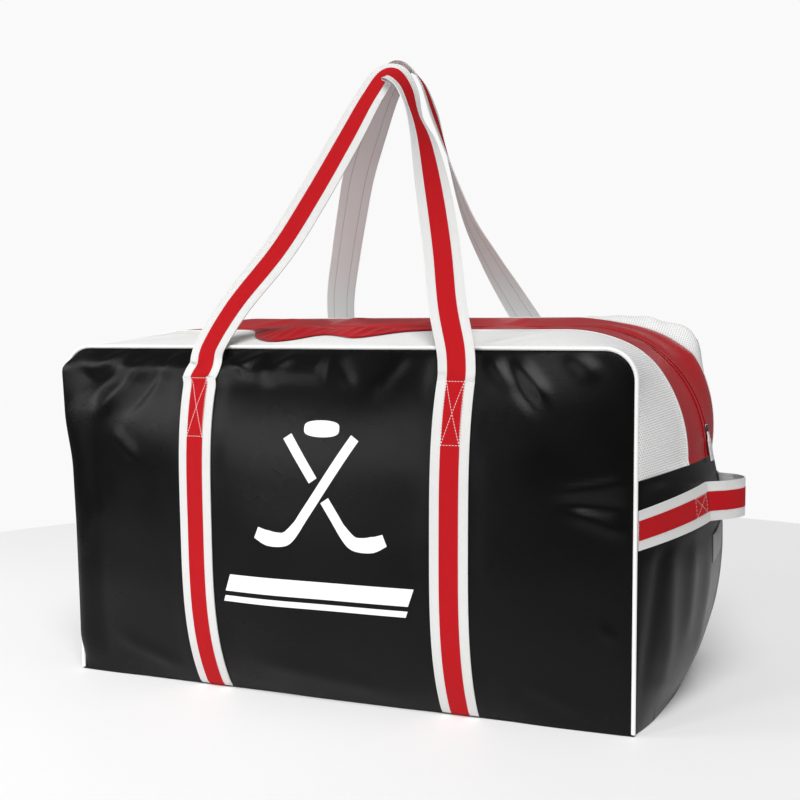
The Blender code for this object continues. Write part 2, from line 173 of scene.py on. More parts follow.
def axes_of(tree, vector):
    return wire(tree, "ShaderNodeSeparateXYZ", {0: vector}).outputs


def ranged(tree, value, low, high, first=0.3, last=0.7):
    """The value taken from first..last to low..high."""
    ends = {"Value": value, "From Min": first, "From Max": last, "To Min": low, "To Max": high}
    return wire(tree, "ShaderNodeMapRange", ends).outputs[0]


def effect(name, inputs, outputs):
    """An empty shader group, and the sockets of its two ends. An input with no value is a vector."""
    tree = bpy.data.node_groups.new(name, "ShaderNodeTree")
    for label, value in inputs.items():
        kind = "NodeSocketVector" if value is None else "NodeSocketFloat"
        socket = tree.interface.new_socket(label, in_out="INPUT", socket_type=kind)
        if value is not None:
            socket.default_value = value
    for label in outputs:
        tree.interface.new_socket(label, in_out="OUTPUT", socket_type="NodeSocketFloat")
    return tree, tree.nodes.new("NodeGroupInput").outputs, tree.nodes.new("NodeGroupOutput").inputs


def sine(tree, value, pitch):
    """A wave of the given pitch along value."""
    turns = maths(tree, "DIVIDE", value, pitch)
    return maths(tree, "SINE", maths(tree, "MULTIPLY", turns, 2 * math.pi))


def make_effects():
    groups = {}

    inputs = {"Lay": None, "Place": None, "Pitch": 0.0012}
    tree, given, out = effect("coated_scrim", inputs, ["Height", "Cloud"])
    lay = axes_of(tree, given["Lay"])
    scrim = maths(tree, "ADD", sine(tree, lay[0], given["Pitch"]), sine(tree, lay[1], given["Pitch"]))
    grain = noise(tree, given["Place"], 420.0, 2.0)
    tree.links.new(maths(tree, "MULTIPLY_ADD", scrim, 0.18, grain), out["Height"])
    tree.links.new(noise(tree, given["Place"], 7.0, 4.0), out["Cloud"])
    groups["scrim"] = tree

    tree, given, out = effect("webbing_weave", {"Lay": None, "Pitch": 0.0016}, ["Height", "Tone"])
    lay = axes_of(tree, given["Lay"])
    zigzag = maths(tree, "PINGPONG", lay[0], 0.0028)
    ribs = sine(tree, maths(tree, "MULTIPLY_ADD", zigzag, 0.9, lay[1]), given["Pitch"])
    threads = sine(tree, lay[0], maths(tree, "MULTIPLY", given["Pitch"], 0.5))
    fuzz = noise(tree, given["Lay"], 900.0, 2.0)
    woven = maths(tree, "MULTIPLY_ADD", threads, 0.35, ribs)
    tree.links.new(maths(tree, "ADD", woven, fuzz), out["Height"])
    shade = maths(tree, "MULTIPLY_ADD", ribs, 0.25, fuzz)
    tree.links.new(wire(tree, "ShaderNodeClamp", {0: shade}).outputs[0], out["Tone"])
    groups["weave"] = tree

    tree, given, out = effect("knit_holes", {"Lay": None, "Pitch": 0.0032}, ["Hole", "Height"])
    lay = axes_of(tree, given["Lay"])
    down = maths(tree, "DIVIDE", lay[1], given["Pitch"])
    shift = maths(tree, "MULTIPLY", maths(tree, "MODULO", maths(tree, "FLOOR", down), 2.0), 0.5)
    over = maths(tree, "ADD", maths(tree, "DIVIDE", lay[0], given["Pitch"]), shift)
    offsets = [maths(tree, "SUBTRACT", maths(tree, "FRACT", value), 0.5) for value in (over, down)]
    squares = [maths(tree, "MULTIPLY", value, value) for value in offsets]
    away = maths(tree, "SQRT", maths(tree, "ADD", *squares))
    hole = ranged(tree, away, 0.0, 1.0, 0.34, 0.22)
    tree.links.new(hole, out["Hole"])
    tree.links.new(maths(tree, "SUBTRACT", noise(tree, given["Lay"], 1100.0, 1.0), hole), out["Height"])
    groups["knit"] = tree

    tree, given, out = effect("handling_wear", {"Place": None}, ["Scuff"])
    near_floor = ranged(tree, axes_of(tree, given["Place"])[2], 0.0, 1.0, 0.035, 0.0)
    marks = ranged(tree, noise(tree, given["Place"], 60.0, 6.0), 0.08, 1.0, 0.56, 0.70)
    tree.links.new(maths(tree, "MULTIPLY", near_floor, marks), out["Scuff"])
    groups["wear"] = tree
    return groups


def begin(name):
    """A new material, its tree, and the piece's lay and place."""
    made = bpy.data.materials.new(name)
    made.use_nodes = True
    tree = made.node_tree
    lay = wire(tree, "ShaderNodeUVMap", uv_map="lay").outputs[0]
    place = wire(tree, "ShaderNodeTexCoord").outputs["Object"]
    return made, tree, lay, place


def placed(tree, group, feeds):
    return wire(tree, "ShaderNodeGroup", feeds, node_tree=group).outputs


def between(tree, share, first, second):
    """Two colours mixed by share. The first may come from another node."""
    first = first if isinstance(first, bpy.types.NodeSocket) else (*first, 1.0)
    ends = {"Factor": share, "A": first, "B": (*second, 1.0)}
    return wire(tree, "ShaderNodeMix", ends, data_type="RGBA").outputs["Result"]


def finish(made, feeds, height, depth):
    """Feeds the material's shader, and raises bumps of this depth where height says."""
    tree = made.node_tree
    bump = {"Height": height, "Distance": depth, "Strength": 1.0}
    feeds["Normal"] = wire(tree, "ShaderNodeBump", bump).outputs[0]
    feed(tree, tree.nodes["Principled BSDF"], feeds)
    return made


def coated_cloth(name, groups, tones, rough, grain, shine, coat=0.0):
    """Vinyl-coated cloth: a smooth skin that lets the scrim under it show through faintly."""
    made, tree, lay, place = begin(name)
    scrim = placed(tree, groups["scrim"], {"Lay": lay, "Place": place})
    scuff = placed(tree, groups["wear"], {"Place": place})["Scuff"]
    tone = between(tree, ranged(tree, scrim["Cloud"], 0.0, 1.0), tones[0], tones[1])
    feeds = {
        "Base Color": between(tree, scuff, tone, tones[2]),
        "Roughness": maths(tree, "MULTIPLY_ADD", scuff, 0.2, ranged(tree, scrim["Cloud"], *rough)),
        "Specular IOR Level": shine,
        "Coat Weight": coat,
        "Coat Roughness": 0.25,
    }
    return finish(made, feeds, scrim["Height"], grain)


def woven_tape(name, groups, light, dark, pitch=0.0016):
    made, tree, lay, place = begin(name)
    weave = placed(tree, groups["weave"], {"Lay": lay, "Pitch": pitch})
    feeds = {"Base Color": between(tree, weave["Tone"], dark, light), "Specular IOR Level": 0.15}
    feeds["Roughness"] = ranged(tree, weave["Tone"], 0.85, 0.65)
    return finish(made, feeds, weave["Height"], 0.00022)


def knit_mesh(name, groups):
    made, tree, lay, place = begin(name)
    knit = placed(tree, groups["knit"], {"Lay": lay})
    cloud = placed(tree, groups["scrim"], {"Lay": lay, "Place": place})["Cloud"]
    yarn = between(tree, ranged(tree, cloud, 0.0, 1.0), (0.80, 0.80, 0.79), (0.86, 0.86, 0.855))
    tone = between(tree, knit["Hole"], yarn, (0.55, 0.55, 0.56))
    feeds = {"Base Color": tone, "Roughness": 0.75, "Specular IOR Level": 0.2}
    return finish(made, feeds, knit["Height"], 0.0004)


def plain_finish(name, light, dark, rough, metallic):
    """Cord, thread, print, board and metal: two close tones, fine grain and uneven gloss."""
    made, tree, lay, place = begin(name)
    cloud = noise(tree, place, 25.0, 4.0)
    feeds = {"Base Color": between(tree, cloud, dark, light), "Roughness": ranged(tree, cloud, *rough)}
    feeds["Metallic"] = metallic
    return finish(made, feeds, noise(tree, place, 300.0, 3.0), 0.00005)


def make_looks():
    groups = make_effects()
    black = ((0.0006, 0.0006, 0.0007), (0.0016, 0.0016, 0.0017), (0.010, 0.010, 0.010))
    red = ((0.34, 0.004, 0.008), (0.42, 0.006, 0.011), (0.45, 0.04, 0.04))
    looks = {
        "black_vinyl": coated_cloth("black_vinyl", groups, black, (0.25, 0.35), 0.00012, 0.16),
        "red_vinyl": coated_cloth("red_vinyl", groups, red, (0.26, 0.36), 0.00006, 0.16, 0.04),
        "white_mesh": knit_mesh("white_mesh", groups),
        "white_webbing": woven_tape("white_webbing", groups, (0.86, 0.86, 0.85), (0.72, 0.72, 0.71)),
        "red_webbing": woven_tape("red_webbing", groups, (0.60, 0.008, 0.014), (0.42, 0.004, 0.008)),
        "zip_tape": woven_tape("zip_tape", groups, (0.016, 0.016, 0.017), (0.008, 0.008, 0.009), 0.0010),
    }
    for name, light, dark, rough, metallic in (
        ("white_cord", (0.82, 0.82, 0.81), (0.76, 0.76, 0.75), (0.38, 0.5), 0.0),
        ("white_thread", (0.80, 0.80, 0.79), (0.66, 0.66, 0.65), (0.6, 0.75), 0.0),
        # Thread for the handles' inner faces: white thread painted grey, painted shade.
        ("shade_grey_thread", (0.30, 0.30, 0.31), (0.20, 0.20, 0.21), (0.6, 0.75), 0.0),
        ("red_thread", (0.50, 0.012, 0.020), (0.34, 0.008, 0.014), (0.55, 0.7), 0.0),
        ("white_print", (0.84, 0.84, 0.84), (0.79, 0.79, 0.79), (0.35, 0.45), 0.0),
        ("black_coil", (0.014, 0.014, 0.015), (0.007, 0.007, 0.008), (0.3, 0.4), 0.0),
        ("grey_label", (0.24, 0.24, 0.25), (0.19, 0.19, 0.20), (0.4, 0.5), 0.0),
        ("board", (0.045, 0.042, 0.040), (0.025, 0.024, 0.023), (0.7, 0.85), 0.0),
        ("zip_metal", (0.26, 0.26, 0.27), (0.16, 0.16, 0.165), (0.25, 0.38), 1.0),
    ):
        looks[name] = plain_finish(name, light, dark, rough, metallic)
    return looks


def lay_floor():
    made, tree, lay, place = begin("studio_floor")
    tone = between(tree, noise(tree, place, 2.0, 2.0), (0.90, 0.90, 0.90), (0.92, 0.92, 0.92))
    feed(tree, tree.nodes["Principled BSDF"], {"Base Color": tone, "Roughness": 0.6})
    mesh = bpy.data.meshes.new("studio_floor")
    turns = np.linspace(0, 2 * math.pi, 128, endpoint=False)
    rim = [(FLOOR_RADIUS * math.cos(a), FLOOR_MIDDLE + FLOOR_RADIUS * math.sin(a), 0.0) for a in turns]
    mesh.from_pydata(rim, [], [list(range(128))])
    mesh.uv_layers.new(name="lay")
    mesh.materials.append(made)
    linked("studio_floor", mesh)


# --- The bag's surfaces ---


def polyline(points, ahead=0.0):
    """A curve of the plane, read by its share of length, and run on a little before its start."""
    points = np.array(points)
    steps = np.hypot(*np.diff(points, axis=0).T)
    share = np.concatenate([[0.0], np.cumsum(steps)]) / steps.sum()
    if ahead:
        points = np.vstack([points[0] + (points[0] - points[1]) / steps[0] * ahead, points])
        share = np.concatenate([[-ahead / steps.sum()], share])
    return lambda t: (np.interp(t, share, points[:, 0]), np.interp(t, share, points[:, 1]))


def arc(cx, cz, radius, first, last, count):
    angles = np.radians(np.linspace(first, last, count))
    return [(cx + radius * math.cos(a), cz + radius * math.sin(a)) for a in angles]


def spline(keys, count):
    """A smooth run through keys, sampled evenly by key."""
    keys = [np.array(k, float) for k in keys]
    ends = [2 * keys[0] - keys[1]] + keys + [2 * keys[-1] - keys[-2]]
    found = []
    for s in np.linspace(0, len(keys) - 1, count):
        i = min(int(s), len(keys) - 2)
        t = s - i
        p0, p1, p2, p3 = ends[i : i + 4]
        bend = (2 * p0 - 5 * p1 + 4 * p2 - p3) * t * t + (3 * p1 - p0 - 3 * p2 + p3) * t**3
        found.append(0.5 * (2 * p1 + (p2 - p0) * t + bend))
    return np.array(found)


MIDDLE_KEYS = [
    (0.431, 0.010), (0.455, 0.063), (0.467, 0.107), (0.475, 0.164), (0.478, 0.235), (0.474, 0.285),
]
EDGE_LOW = polyline([(HALF_LENGTH, 0.010), (HALF_LENGTH, SEAM_EDGE)], 0.0090)
MIDDLE_LOW = polyline(spline(MIDDLE_KEYS + [(0.464, SEAM_MIDDLE)], 61), 0.0097)
EDGE_HIGH = polyline(
    [(HALF_LENGTH, SEAM_EDGE)]
    + arc(HALF_LENGTH - CORNER, TOP_EDGE - CORNER, CORNER, 0, 90, 33)
    + [(FLAP_END, TOP_EDGE)]
)
MIDDLE_HIGH = polyline(
    [(0.464, SEAM_MIDDLE)]
    + arc(ARCH_X, ARCH_Z, ARCH_RADIUS, 0, 90, 97)
    + [(FLAP_END, ARCH_Z + ARCH_RADIUS)]
)


def flared(x, z, y):
    """The front left edge of the stuffed bag stands out a little towards the top."""
    more = 1 + 0.05 * (z / HINGE_Z) ** 2 * np.clip(-y / HALF_WIDTH, 0, 1) ** 2
    return np.where((x < 0) & (y < 0), x * more, x)


def gusset(q, v):
    """The band round the ends and the top, -3 to 3 from foot to foot by -1 to 1 from front to back."""
    q, v = np.broadcast_arrays(np.asarray(q, float), np.asarray(v, float))
    side, t = np.where(q < 0, -1.0, 1.0), np.abs(q)
    weight = 1 - np.abs(v) ** 2.4
    puff = np.where(v > 0, BACK_PUFF * np.sin(math.pi * v) ** 2, 0.0)
    top, turn = t <= 1, t <= 2
    lift = np.where(top, puff, np.where(turn, puff * np.clip((2 - t) / 0.5, 0, 1), 0.0))
    (high_x, high_z), (peak_x, peak_z) = EDGE_HIGH(2 - t), MIDDLE_HIGH(2 - t)
    (low_x, low_z), (belly_x, belly_z) = EDGE_LOW(3 - t), MIDDLE_LOW(3 - t)
    edge_x = np.where(top, t * FLAP_END, np.where(turn, high_x, low_x))
    edge_z = np.where(top, TOP_EDGE, np.where(turn, high_z, low_z))
    middle_x = np.where(top, t * FLAP_END, np.where(turn, peak_x, belly_x))
    middle_z = np.where(top, ARCH_Z + ARCH_RADIUS, np.where(turn, peak_z, belly_z))
    x = edge_x + (middle_x - edge_x) * weight
    z = edge_z + (middle_z - edge_z) * weight
    lean = np.where(turn, np.clip((x - FLAP_END) / 0.18, 0, 1), 0.0)
    x = x + lift * lean
    z = z + lift * np.sqrt(1 - lean * lean)
    y = v * HALF_WIDTH
    return np.stack([flared(side * x, z, y), y, z], axis=-1)


def bulge(x, z):
    along = 1 - np.minimum(1.0, np.abs(x) / HALF_LENGTH) ** 3
    up = 1 - np.abs(2 * z / TOP_EDGE - 1) ** 3.2
    return 0.055 * along * up


def front(x, z):
    y = -HALF_WIDTH + 0 * x
    return np.stack([flared(x, z, y), y - bulge(x, z), z], axis=-1)


def back(x, z):
    return np.stack([-x, HALF_WIDTH + bulge(x, z), z], axis=-1)


def facing(surface, a, b, step=3e-4):
    across = surface(a + step, b) - surface(a - step, b)
    up = surface(a, b + step) - surface(a, b - step)
    found = np.cross(across, up)
    return found / np.linalg.norm(found, axis=-1)[..., None]


def dressed(surface, relief):
    """The surface with the cloth's own relief on it."""
    return lambda a, b: surface(a, b) + facing(surface, a, b) * relief(a, b)[..., None]


def smooth_step(value, first, last):
    share = np.clip((value - first) / (last - first), 0, 1)
    return share * share * (3 - 2 * share)


def creases(a, b, marks):
    """Ridges and valleys of cloth: each mark is two points, a width and a height, in millimetres."""
    total = np.zeros(np.broadcast(a, b).shape)
    for a1, b1, a2, b2, width, height in np.array(marks) / 1000:
        run_a, run_b = a2 - a1, b2 - b1
        length = math.hypot(run_a, run_b)
        share = ((a - a1) * run_a + (b - b1) * run_b) / length**2
        off = ((a - a1) * run_b - (b - b1) * run_a) / length
        past = np.maximum(0, np.abs(share - 0.5) - 0.25) * length
        total += height * np.exp(-((off / width) ** 2) - (past / (length * 0.28)) ** 2)
    return total


def ripple(a, b, amount, seed):
    """A slow unevenness, the same on every run."""
    random = np.random.default_rng(seed)
    total = 0.0
    for scale in (0.34, 0.21, 0.15, 0.11):
        turn, start = random.uniform(0, math.pi), random.uniform(0, 2 * math.pi)
        along = (a * math.cos(turn) + b * math.sin(turn)) / scale
        total = total + scale / 0.34 * np.sin(2 * math.pi * along + start)
    return amount * total


FRONT_CREASES = [
    (-209, 477, -261, 418, 8, 2.6), (-260, 462, -348, 389, 10, 3.4), (-306, 475, -337, 456, 7, 2.2),
    (-230, 455, -300, 390, 9, -2.8), (-300, 462, -380, 400, 10, -2.6), (-323, 356, -282, 322, 12, 1.6),
    (-141, 466, -102, 446, 7, 2.2), (-86, 478, -118, 450, 6, 1.8), (-48, 467, -79, 433, 8, 2.2),
    (10, 470, 40, 430, 10, 1.6), (110, 468, 80, 425, 9, 1.6), (222, 470, 262, 432, 9, 2.6),
    (262, 463, 301, 420, 9, 2.8), (245, 455, 290, 405, 9, -2.2), (330, 475, 360, 447, 12, 2.6),
    (336, 278, 400, 253, 9, 2.2), (321, 302, 397, 315, 9, 2.2), (330, 290, 398, 284, 8, -2.2),
    (384, 130, 373, 124, 10, 1.4), (-360, 250, -395, 180, 12, 1.6), (-330, 60, -240, 30, 12, 1.8),
    (280, 60, 350, 28, 12, 1.8), (-100, 50, 80, 30, 14, 1.4),
]
END_CREASES = [
    (-190, 240, -205, 80, 12, -3), (-175, 225, -160, 70, 16, 2.6), (-120, 215, -110, 110, 16, 2.2),
    (-60, 205, -45, 60, 20, 2), (80, 210, 60, 90, 18, 2.4), (170, 230, 185, 80, 14, 2.6),
    (-190, 60, -80, 30, 12, 2), (50, 35, 170, 50, 14, 2), (-205, 315, -120, 295, 10, 2),
    (205, 315, 110, 298, 10, 2),
]
MESH_CREASES = [
    (-340, -200, -260, -140, 8, 1.6), (200, -210, 280, -140, 8, 1.6), (360, -200, 420, -130, 9, 1.8),
    (300, 205, 360, 130, 12, 4), (340, 215, 440, 150, 12, -3.2), (240, 200, 270, 125, 12, 3.4),
    (100, 205, 160, 130, 12, 2.6), (-60, 205, -20, 130, 12, 2.4), (-240, 205, -200, 130, 12, 3),
    (-400, 205, -340, 130, 12, 3.4),
]
BAND_CREASES = [
    (-120, -70, 110, -50, 14, 5), (-90, -30, 60, -18, 10, 4), (-30, -95, 90, -85, 10, -2),
    (-230, -95, -160, -20, 12, 2), (150, -100, 200, -20, 12, 2.2), (250, -100, 270, -20, 14, 1.8),
    (-260, 20, -220, 95, 12, 2.2), (-130, 20, -100, 95, 14, 2.6), (20, 20, 60, 95, 14, 2.6),
    (160, 20, 180, 95, 12, 2.2), (370, -100, 380, -10, 12, 1.8), (-370, 10, -380, 100, 12, 1.8),
]


def edge_distance(x, z):
    """How far a point of a face panel is from the piping round it."""
    past, above = np.abs(x) - CORNER_X, z - CORNER_Z
    over = np.hypot(np.maximum(past, 0), np.maximum(above, 0))
    inside = np.minimum(HALF_LENGTH - np.abs(x), TOP_EDGE - z)
    return np.where((past > 0) & (above > 0), CORNER - over, inside)


def near_seam(distance):
    """The cloth is drawn in beside a seam."""
    return -0.0024 * np.clip(1 - distance / 0.010, 0, 1) ** 2


def off_straps(x, places):
    """0 under the sewn webbing, 1 clear of it."""
    away = np.minimum(np.abs(x - places[0]), np.abs(x - places[1]))
    return smooth_step(away, 0.027, 0.050)


def front_relief(x, z):
    loose = ripple(x, z, 0.0010, 3) + 1.3 * creases(x, z, FRONT_CREASES)
    kept = smooth_step(edge_distance(x, z), 0.0, 0.018)
    return loose * kept * off_straps(x, FRONT_STRAPS) + near_seam(edge_distance(x, z))


def back_relief(x, z):
    loose = ripple(x, z, 0.0012, 8) + creases(x, z, FRONT_CREASES[2:19])
    kept = smooth_step(edge_distance(x, z), 0.0, 0.018)
    return loose * kept * off_straps(-x, BACK_STRAPS) + near_seam(edge_distance(x, z))


def run_length(q):
    """Distance along the gusset from the middle of the top."""
    return np.sign(q) * np.where(np.abs(q) <= 2, np.abs(q) * 0.279, 0.558 + (np.abs(q) - 2) * 0.318)


def end_relief(q, v):
    y, z = v * HALF_WIDTH, SEAM_EDGE - (np.abs(q) - 2) * 0.307
    loose = ripple(y + 0.3 * np.sign(q), z, 0.0012, 5) + creases(y, z, END_CREASES)
    under_strap = np.abs(z - grab_line(v) + 0.008)
    kept = smooth_step(HALF_WIDTH - np.abs(y), 0.0, 0.020) * smooth_step(under_strap, 0.028, 0.050)
    return loose * kept + near_seam(HALF_WIDTH - np.abs(y))


def top_relief(q, v):
    run, y = run_length(q), v * HALF_WIDTH
    band_edge = np.abs(y) - BAND_V * HALF_WIDTH
    on_mesh = smooth_step(band_edge, 0.0, 0.020) * smooth_step(HALF_WIDTH - np.abs(y), 0.0, 0.020)
    on_band = smooth_step(-band_edge, 0.0, 0.015)
    mesh = on_mesh * (creases(run, y, MESH_CREASES) + ripple(run, y, 0.0010, 11))
    lips = 0.0030 * np.exp(-((y / 0.012) ** 2)) * smooth_step(0.25 - np.abs(run), 0.0, 0.15)
    slack = np.maximum(smooth_step(np.abs(y), 0.012, 0.034), smooth_step(0.270 - np.abs(run), 0.0, 0.04))
    band = on_band * (slack * (creases(run, y, BAND_CREASES) + ripple(run, y, 0.0008, 17)) + lips)
    band = band * smooth_step(0.558 - np.abs(run), 0.0, 0.03)
    return mesh + band + near_seam(HALF_WIDTH - np.abs(y))


def window(value, first, full, empty, last):
    """0 outside first to last, 1 between full and empty."""
    return smooth_step(value, first, full) * (1 - smooth_step(value, empty, last))


def filled_out(places):
    """The stuffing pushes the back corners up and out, and the band beside the right one lies lower."""
    x, y, z = places[..., 0], places[..., 1], places[..., 2]
    moved = np.zeros_like(places)
    for side, height in ((1, 0.018), (-1, 0.010)):
        near = np.exp(-(((side * x - 0.410) ** 2 + (z - 0.480) ** 2) / 0.045**2))
        push = height * near * smooth_step(y, 0.115, 0.175)
        moved[..., 0] += side * 0.55 * push
        moved[..., 2] += 0.85 * push
    on_top = smooth_step(z, 0.40, 0.46)
    puffed = window(x, 0.20, 0.32, 0.42, 0.47) * window(y, 0.120, 0.155, 0.175, 0.226)
    sunk = window(x, 0.25, 0.33, 0.40, 0.45) * window(y, 0.025, 0.075, 0.110, 0.135)
    moved[..., 2] += (0.013 * puffed - 0.007 * sunk) * on_top
    return places + moved


def lipped(x, z):
    """The front panel swells over its left seam."""
    distance = edge_distance(x, z)
    swell = window(distance, 0.0, 0.007, 0.012, 0.055) * (x < 0) * window(z, 0.0, 0.06, 0.445, 0.475)
    out = 0.0045 + 0.0075 * smooth_step(z, 0.300, 0.385)
    shift = np.stack([-out * swell, -0.008 * swell, 0 * swell], axis=-1)
    return dressed(front, front_relief)(x, z) + shift


def full(surface):
    return lambda a, b: filled_out(surface(a, b))


FRONT = lipped
BACK = full(dressed(back, back_relief))
END = full(dressed(gusset, end_relief))
TOP = full(dressed(gusset, top_relief))


# --- Making pieces ---


def strapped(obj, nodes=(), body="bag"):
    """The piece rides on a body, and stands for the nodes."""
    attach(obj, body)
    for node in [nodes] if isinstance(nodes, str) else nodes:
        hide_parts(node)
    return obj


def mesh_piece(name, points, faces, look, uv, sharp=50):
    """A mesh object whose faces look outward, smooth but for edges sharper than so many degrees."""
    mesh = bpy.data.meshes.new(name)
    mesh.from_pydata(points.tolist(), [], faces)
    corners = np.empty(len(mesh.loops), np.int32)
    mesh.loops.foreach_get("vertex_index", corners)
    lay = np.asarray(uv, np.float32)[corners].ravel()
    mesh.uv_layers.new(name="lay").data.foreach_set("uv", lay)
    mesh.materials.append(look)
    mesh.validate()
    mesh.calc_loop_triangles()
    corners = np.empty(len(mesh.loop_triangles) * 3, np.int32)
    mesh.loop_triangles.foreach_get("vertices", corners)
    solid = points[corners].reshape(-1, 3, 3)
    if np.linalg.det(solid - solid.mean(axis=(0, 1))).sum() < 0:
        mesh.flip_normals()
    mesh.shade_smooth()
    mesh.set_sharp_from_angle(angle=math.radians(sharp))
    return linked(name, mesh)


def grid_faces(rows, columns):
    """Faces of a closed skin with an upper and a lower layer of rows by columns points."""
    count = rows * columns
    index = np.arange(count).reshape(rows, columns)
    a, b = index[:-1, :-1].ravel(), index[:-1, 1:].ravel()
    c, d = index[1:, 1:].ravel(), index[1:, :-1].ravel()
    faces = np.stack([a, b, c, d], axis=1).tolist()
    faces += (np.stack([d, c, b, a], axis=1) + count).tolist()
    rim = np.concatenate([index[:, 0], index[-1, 1:], index[-2::-1, -1], index[0, -2:0:-1]])
    after = np.roll(rim, -1)
    faces += np.stack([rim, after, after + count, rim + count], axis=1).tolist()
    return faces


def skin(name, places, out, outer, inner, look, lay):
    """A closed cloth over a grid of places, from inner to outer along out."""
    rows, columns = places.shape[:2]
    points = np.concatenate([(places + out * k).reshape(-1, 3) for k in (inner, outer)])
    flat = np.stack([np.broadcast_to(part, (rows, columns)) for part in lay], axis=-1)
    return mesh_piece(name, points, grid_faces(rows, columns), look, np.tile(flat.reshape(-1, 2), (2, 1)))


def gusset_strip(name, surface, q, v, outer, inner, look):
    """A cloth lying along the gusset."""
    q, v = np.broadcast_arrays(q, v)
    lay = (v * HALF_WIDTH, run_length(q))
    return skin(name, surface(q, v), facing(surface, q, v), outer, inner, look, lay)


def grid_normals(places):
    along, across = np.gradient(places, axis=0), np.gradient(places, axis=1)
    found = np.cross(along, across)
    return found / np.linalg.norm(found, axis=-1)[..., None]


def lengths(places):
    """Distance along the rows of a grid of places, by its middle column."""
    middle = places[:, places.shape[1] // 2]
    return np.concatenate([[0.0], np.cumsum(np.linalg.norm(np.diff(middle, axis=0), axis=1))])


# --- Sewing: stitches and zip teeth, laid along a path ---


def make_sewing_tree():
    """Beads of one size, laid along the object's edges at an even pitch."""
    tree = bpy.data.node_groups.new("beads_along_path", "GeometryNodeTree")
    tree.is_modifier = True
    tree.interface.new_socket("Path", in_out="INPUT", socket_type="NodeSocketGeometry")
    for label, value in (("Pitch", 0.0040), ("Length", 0.0030), ("Width", 0.0008), ("Height", 0.0006)):
        tree.interface.new_socket(label, in_out="INPUT", socket_type="NodeSocketFloat").default_value = value
    tree.interface.new_socket("Finish", in_out="INPUT", socket_type="NodeSocketMaterial")
    tree.interface.new_socket("Beads", in_out="OUTPUT", socket_type="NodeSocketGeometry")
    given = tree.nodes.new("NodeGroupInput").outputs

    def step(kind, feeds=None, **settings):
        return wire(tree, kind, feeds, **settings).outputs[0]

    line = step("GeometryNodeMeshToCurve", {"Mesh": given["Path"]})
    points = step("GeometryNodeResampleCurve", {"Curve": line, "Length": given["Pitch"]}, mode="LENGTH")
    tangent = step("GeometryNodeInputTangent")
    away = step("GeometryNodeInputNamedAttribute", {"Name": "out"}, data_type="FLOAT_VECTOR")
    turned = step("FunctionNodeAxesToRotation", {0: tangent, 1: away}, primary_axis="Z", secondary_axis="X")
    bead = step("GeometryNodeMeshIcoSphere", {"Radius": 0.5, "Subdivisions": 1})
    size = step("ShaderNodeCombineXYZ", {"X": given["Height"], "Y": given["Width"], "Z": given["Length"]})
    at = {"Points": points, "Instance": bead, "Rotation": turned, "Scale": size}
    real = step("GeometryNodeRealizeInstances", {"Geometry": step("GeometryNodeInstanceOnPoints", at)})
    finished = step("GeometryNodeSetMaterial", {"Geometry": real, "Material": given["Finish"]})
    tree.links.new(finished, tree.nodes.new("NodeGroupOutput").inputs["Beads"])
    return tree


def beads(name, tree, paths, look, pitch, size):
    """One plain mesh of beads along every path; a path is its points and their outward directions."""
    points, out, edges = [], [], []
    for places, away in paths:
        first = len(points)
        points += np.asarray(places).tolist()
        out += np.broadcast_to(away, np.shape(places)).tolist()
        edges += [(first + i, first + i + 1) for i in range(len(places) - 1)]
    guide = bpy.data.meshes.new(name + "_path")
    guide.from_pydata(points, edges, [])
    facings = guide.attributes.new("out", "FLOAT_VECTOR", "POINT")
    facings.data.foreach_set("vector", np.asarray(out, np.float32).ravel())
    holder = linked(name + "_path", guide)
    modifier = holder.modifiers.new("sewing", "NODES")
    modifier.node_group = tree
    sockets = {item.name: item.identifier for item in tree.interface.items_tree if item.in_out == "INPUT"}
    for label, value in zip(("Finish", "Pitch", "Length", "Width", "Height"), (look, pitch, *size)):
        modifier[sockets[label]] = value
    made = as_made(holder)
    bpy.data.objects.remove(holder, do_unlink=True)
    bpy.data.meshes.remove(guide)
    made.name = name
    made.shade_smooth()
    if not made.uv_layers:
        made.uv_layers.new(name="lay")
    return linked(name, made)


def as_made(obj):
    """A plain mesh of the object as its modifiers leave it."""
    return bpy.data.meshes.new_from_object(obj.evaluated_get(bpy.context.evaluated_depsgraph_get()))


def sewn(name, looks, tree, paths, riding=True, look="white_thread", pitch=0.0042, size=THREAD):
    """Rows of stitches, riding on the bag unless riding is false."""
    made = beads(name, tree, paths, looks[look], pitch, size)
    return strapped(made) if riding else made


def row_beside(places, out, share):
    """A row of sewing along a strip of webbing, share of the way across it, lifted off its face."""
    columns = places.shape[1] - 1
    at = share * columns
    i = min(int(at), columns - 1)
    line = places[:, i] + (places[:, i + 1] - places[:, i]) * (at - i)
    away = out[:, min(int(round(at)), columns)]
    return line + away * (STRAP_TOP + THREAD_LIFT), away


def edge_rows(places, out):
    return [row_beside(places, out, share) for share in STITCH_ROWS]


# --- Shell ---


def half_at(z):
    """Half a face panel's length at height z, up to the piping."""
    inset = CORNER - SEAM_INSET
    rise = np.clip(z - TOP_EDGE + CORNER, 0, inset)
    return HALF_LENGTH - CORNER + np.sqrt(inset**2 - rise**2)


def face_panel(name, surface, look, node):
    low = np.array([0.0010, 0.0030, 0.0060, 0.0100])
    high = TOP_EDGE - SEAM_INSET - np.array([0.0040, 0.0020, 0.0008, 0.0])
    heights = np.concatenate([low, np.linspace(0.0145, high[0] - 0.004, 86), high])
    share = np.linspace(-1, 1, 171)
    x = share[:, None] * half_at(heights)[None, :]
    z = np.broadcast_to(heights, x.shape)
    places, out = surface(x, z), facing(surface, x, z)
    return strapped(skin(name, places, out, 0.0, -0.0022, look, (x, z)), node)


